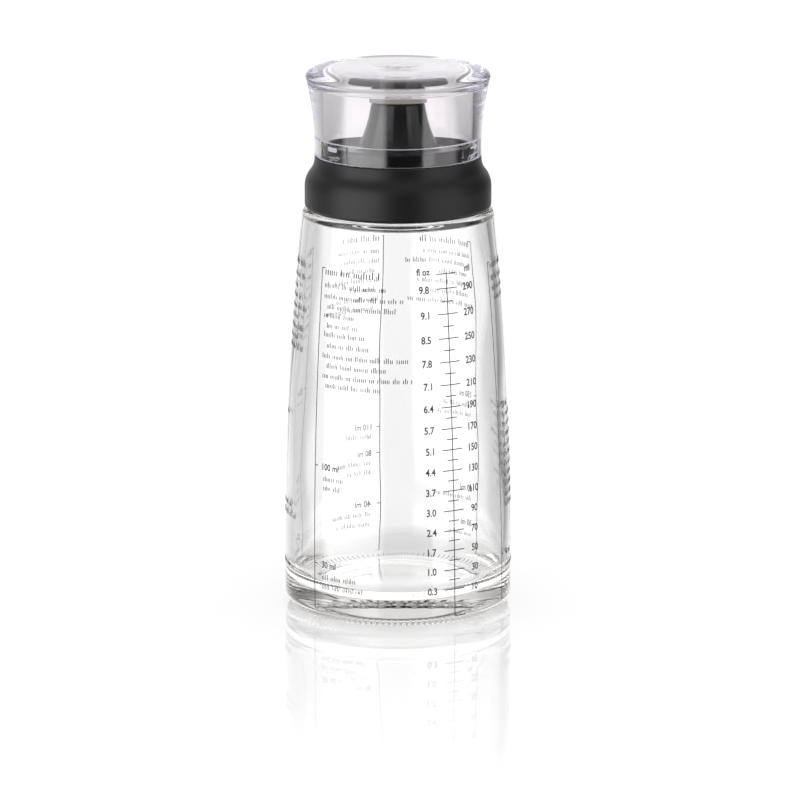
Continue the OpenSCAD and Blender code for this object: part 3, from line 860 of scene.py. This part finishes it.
def buildMarks(material):
    m = marks
    # a pill's ends are half circles, and an arrow's head narrows evenly to its tip
    long, high = m["pill"]
    x = np.linspace(-long / 2, long / 2, 41)
    intoEnd = np.clip((np.abs(x) - long / 2 + high) / high, 0, 0.999)
    pill = stripOf(x, high * np.sqrt(1 - intoEnd ** 2))
    long, shaft, head = m["arrow"]
    x = np.linspace(-long / 2, long / 2, 41)
    arrow = stripOf(x, np.interp(x, (0, 0.1, long / 2), (shaft, head, 0.03)))

    def around(shape, at):
        (x, z), faces = shape[0].T, shape[1]
        return np.column_stack([at + np.degrees(x / cap["radius"]), m["z"] + z]), faces

    def capRadius(z):
        return cap["radius"] + m["bulge"] * np.clip(z - cap["low"] - cap["upright"], 0, None) ** 2

    shapes = [around(pill, at) for at in m["pills"]] + [around(arrow, at) for at in m["arrows"]]
    made = inkShell("capMarks", material, shapes, capRadius, m)
    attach(made, "cap")


# Floor, light and camera

# In metres; the mirror image of the object fades out from mirrorFrom to mirrorReach
stage = {"radius": 3.0, "paint": 0.42, "glow": 0.61,
         "mirror": 0.36, "mirrorFrom": 0.03, "mirrorReach": 0.21}

# What reflections see, as (degrees from the camera's direction, brightness): white behind, a
# light box at the left, a narrow one at the right, and dark between
studioRing = [(-180, 1.0), (-169, 1.0), (-160, 0.85), (-140, 0.6), (-120, 0.34), (-86, 0.34),
              (-79, 2.8), (-50, 2.7), (-22, 2.3), (-14, 0.04), (34, 0.04), (37, 1.9), (50, 1.9),
              (55, 1.2), (87, 1.2), (92, 0.12), (135, 0.16), (150, 0.4), (160, 0.7), (169, 1.0),
              (180, 1.0)]
# Brightness in every direction, and where soft steps along one axis start and are full
studio = {"brightest": 2.8, "overhead": 0.6, "below": 1.5, "beneath": 0.3,
          "through": 1.1, "throughSide": 0.8, "throughUp": 1.1, "throughDown": 0.84,
          "windows": 8, "paneEdge": 0.6, "soft": 0.9, "softTop": 0.25,
          "up": ("Z", 0.35, 0.75), "down": ("Z", -0.2, -0.5), "steep": ("Z", -0.4, -0.8),
          "behind": ("Y", -0.45, 0.0)}


def buildWorld():
    # camera rays see plain white. Light that has passed glass sees white panels all round with
    # paler grey between them, reflections see the studio ring, and matt surfaces an even soft light
    world = bpy.data.worlds.new("softStudio")
    scene.world = world
    world.use_nodes = True
    world.cycles.sampling_method = "NONE"
    tree = world.node_tree
    tree.nodes.clear()
    direction = addNode(tree, "TexCoord").outputs["Generated"]
    axes = addNode(tree, "SeparateXYZ", {0: direction}).outputs
    towards = addNode(tree, "Math", {0: axes["Y"], 1: -1.0}, operation="MULTIPLY")
    angle = addNode(tree, "Math", {0: axes["X"], 1: towards}, operation="ARCTAN2")
    turn = addNode(tree, "MapRange", {0: angle, 1: -math.pi, 2: math.pi})
    ring = addNode(tree, "ValToRGB", {0: turn})
    stops = ring.color_ramp.elements
    while len(stops) < len(studioRing):
        stops.new(0.5)
    for stop, (degrees, _) in zip(stops, studioRing):
        stop.position = degrees / 360 + 0.5
    for stop, (_, level) in zip(stops, studioRing):
        stop.color = (level / studio["brightest"],) * 3 + (1,)
    mirror = addNode(tree, "Math", {0: ring, 1: studio["brightest"]}, operation="MULTIPLY")
    up, down, steep, behind = [
        addNode(tree, "MapRange", {0: axes[axis], 1: start, 2: full},
                interpolation_type="SMOOTHSTEP")
        for axis, start, full in (studio[key] for key in ("up", "down", "steep", "behind"))]
    # the floor shines only behind the bottle. In front of it the ring's boxes go on downwards, and
    # end above the floor, so that steep views from above stay calm
    front = addNode(tree, "Math", {0: 1.0, 1: behind}, operation="SUBTRACT")
    under, low = [addNode(tree, "Math", {0: a, 1: b}, operation="MULTIPLY")
                  for a, b in ((down, behind), (steep, front))]
    for share, key in ((up, "overhead"), (under, "below"), (low, "beneath")):
        mirror = addNode(tree, "Mix", {0: share, 2: mirror, 3: studio[key]})
    # the panels seen through glass: cosine of a multiple of the angle
    spread = addNode(tree, "Math", {0: angle, 1: studio["windows"]}, operation="MULTIPLY")
    wave = addNode(tree, "Math", {0: spread}, operation="COSINE")
    level = addNode(tree, "MapRange", {
        0: wave, 2: studio["paneEdge"], 3: studio["throughSide"], 4: studio["through"]},
        interpolation_type="SMOOTHSTEP")
    for share, key in ((up, "throughUp"), (down, "throughDown")):
        level = addNode(tree, "Mix", {0: share, 2: level, 3: studio[key]})
    soft = addNode(tree, "Math", {0: axes["Z"], 1: studio["softTop"], 2: studio["soft"]},
                   operation="MULTIPLY_ADD")
    path = addNode(tree, "LightPath").outputs
    glossy, matt = [addNode(tree, "Math", {0: path[kind], 1: 0.5}, operation="GREATER_THAN")
                    for kind in ("Glossy Depth", "Diffuse Depth")]
    # the floor's own mirror image is the only sharp reflection that reaches the backdrop
    sharp = addNode(tree, "Math", {0: path["Is Singular Ray"], 1: path["Is Reflection Ray"]},
                    operation="MULTIPLY")
    plain = addNode(tree, "Math", {0: sharp, 1: path["Is Camera Ray"]}, operation="MAXIMUM")
    for share, seen in ((glossy, mirror), (matt, soft), (plain, 1.0)):
        level = addNode(tree, "Mix", {0: share, 2: level, 3: seen})
    light = addNode(tree, "Background", {"Color": srgb("#ffffff"), "Strength": level})
    addNode(tree, "OutputWorld", {"Surface": light})


def buildFloor():
    # white acrylic sheet: its paint takes the object's shadow, a glow that only the camera sees
    # brings it up to white, and near the object it mirrors faintly
    material, tree, place = newMaterial("whiteAcrylicSheet")
    paint = addNode(tree, "BsdfDiffuse", {"Color": (stage["paint"],) * 3 + (1,)})
    ray = addNode(tree, "LightPath").outputs["Is Camera Ray"]
    seen = addNode(tree, "Math", {0: ray, 1: stage["glow"]}, operation="MULTIPLY")
    glow = addNode(tree, "Emission", {"Color": srgb("#ffffff"), "Strength": seen})
    sheet = addNode(tree, "AddShader", {0: paint, 1: glow})
    far = addNode(tree, "VectorMath", {0: place}, operation="LENGTH").outputs["Value"]
    mirror = addNode(tree, "MapRange", {
        0: far, 1: stage["mirrorFrom"], 2: stage["mirrorReach"], 3: stage["mirror"], 4: 0.0})
    gloss = addNode(tree, "BsdfAnisotropic", {"Color": srgb("#ffffff"), "Roughness": 0.0})
    both = addNode(tree, "MixShader", {0: mirror, 1: sheet, 2: gloss})
    addNode(tree, "OutputMaterial", {"Surface": both})
    reach = stage["radius"]
    corners = [(-reach, -reach, 0), (reach, -reach, 0), (reach, reach, 0), (-reach, reach, 0)]
    floor = putMesh("floorSheet", material, np.array(corners) / mm, [(0, 1, 2, 3)])
    floor.visible_glossy = False
    floor.visible_transmission = False


view = {"elevation": 13.5, "distance": 1.504, "target": (0.0006, 0.0, 0.0633),
        "lens": 220.5, "sensor": 36.0}


def buildCamera():
    camera = bpy.data.objects.new("camera", bpy.data.cameras.new("camera"))
    tilt = math.radians(view["elevation"])
    back = Vector((0, -math.cos(tilt), math.sin(tilt)))
    camera.location = Vector(view["target"]) + back * view["distance"]
    camera.rotation_euler = (math.pi / 2 - tilt, 0, 0)
    camera.data.lens = view["lens"]
    camera.data.sensor_width = view["sensor"]
    scene.collection.objects.link(camera)
    scene.camera = camera


print("stage: camera, floor and light")
buildCamera()
buildFloor()
buildWorld()
scene.view_settings.view_transform = "Standard"
scene.cycles.max_bounces = 48
scene.cycles.transmission_bounces = 48
scene.cycles.glossy_bounces = 24

print("stage: glass bottle")
buildGlass(sodaLimeGlass())
print("stage: print on the glass")
inkColour = ceramicInk()
buildScale(inkColour)
buildColumns(inkColour)
print("stage: collar, pourer and seals")
buildCollar(sparkedBlack())
buildPourer(glossBlack())
silicone = milkySilicone()
buildSeal(silicone)
buildGasket(silicone)
print("stage: clear cap")
buildCap(clearStyrene())
buildMarks(frostedMark())
